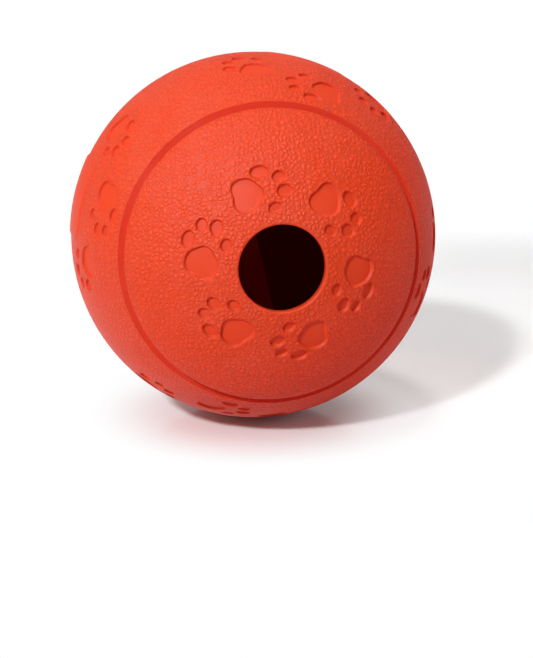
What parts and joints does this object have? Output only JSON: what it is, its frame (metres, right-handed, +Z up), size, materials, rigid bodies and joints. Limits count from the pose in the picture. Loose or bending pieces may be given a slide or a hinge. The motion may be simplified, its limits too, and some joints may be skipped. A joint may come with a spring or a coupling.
{
  "type": "treat dispensing ball",
  "caption": "Hollow rubber treat ball in two bonded halves, with a round treat hole, ring grooves, sunken paw prints and a divider inside that slows the treats.",
  "frame": {"origin": "centre of the ball", "axes": "-Y out through the treat hole, +Z up as the ball lies in use, the seam between the halves in the XZ plane"},
  "size_m": [0.11, 0.1087, 0.11],
  "materials": {
    "red_rubber": "matt, moulded with a fine pebble grain, smooth in the prints, the grooves and the lip of the hole",
    "inner_rubber": "matt, smooth"
  },
  "bodies": {
    "root": {"front_shell": "red_rubber", "rear_shell": "red_rubber", "divider": "inner_rubber"}
  },
  "joints": []
}
